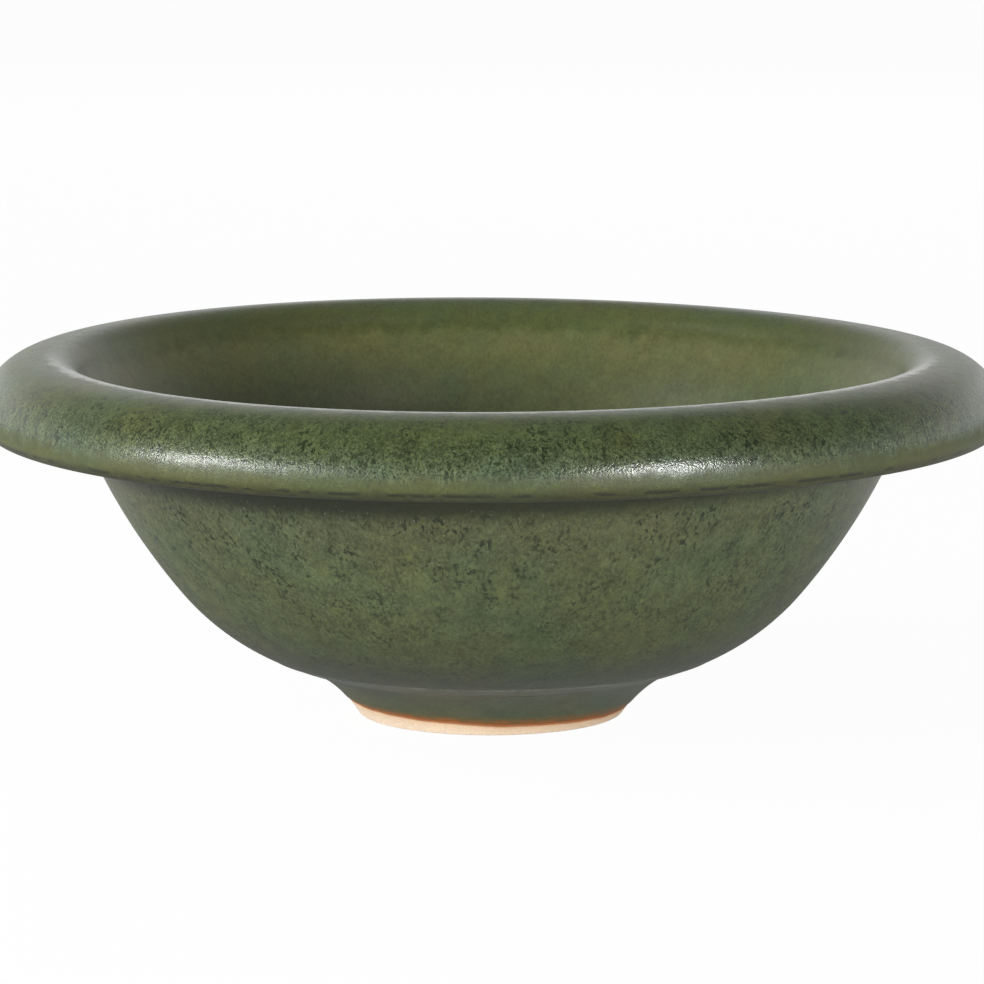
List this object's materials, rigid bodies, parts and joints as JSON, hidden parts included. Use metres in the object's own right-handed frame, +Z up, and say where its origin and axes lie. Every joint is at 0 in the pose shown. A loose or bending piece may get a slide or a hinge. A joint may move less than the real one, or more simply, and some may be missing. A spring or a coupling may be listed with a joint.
{
  "type": "ikebana suiban",
  "caption": "Wide footed stoneware water bowl with a heavy rolled rim and a mottled green glaze, holding a pin holder that stands flower stems upright.",
  "frame": {"origin": "on the bowl's axis, in the plane that the foot ring stands on", "axes": "+Z up along the bowl's axis; the picture looks along +Y and a little down, with +X to the right"},
  "size_m": [0.28, 0.28, 0.1],
  "materials": {
    "clay": "matte",
    "glaze": "satin",
    "lead": "matte",
    "brass": "satin",
    "rubber": "matte"
  },
  "bodies": {
    "vessel": {"stoneware_body": "clay", "glaze_coat": "glaze"},
    "kenzan": {"kenzan_weight": "lead", "kenzan_needles": "brass", "kenzan_ring": "rubber"}
  },
  "joints": [
    {"name": "kenzan_lift", "type": "slide", "parent": "vessel", "child": "kenzan", "axis": [0, 0, 1], "range_m": [0, 0.1]}
  ]
}
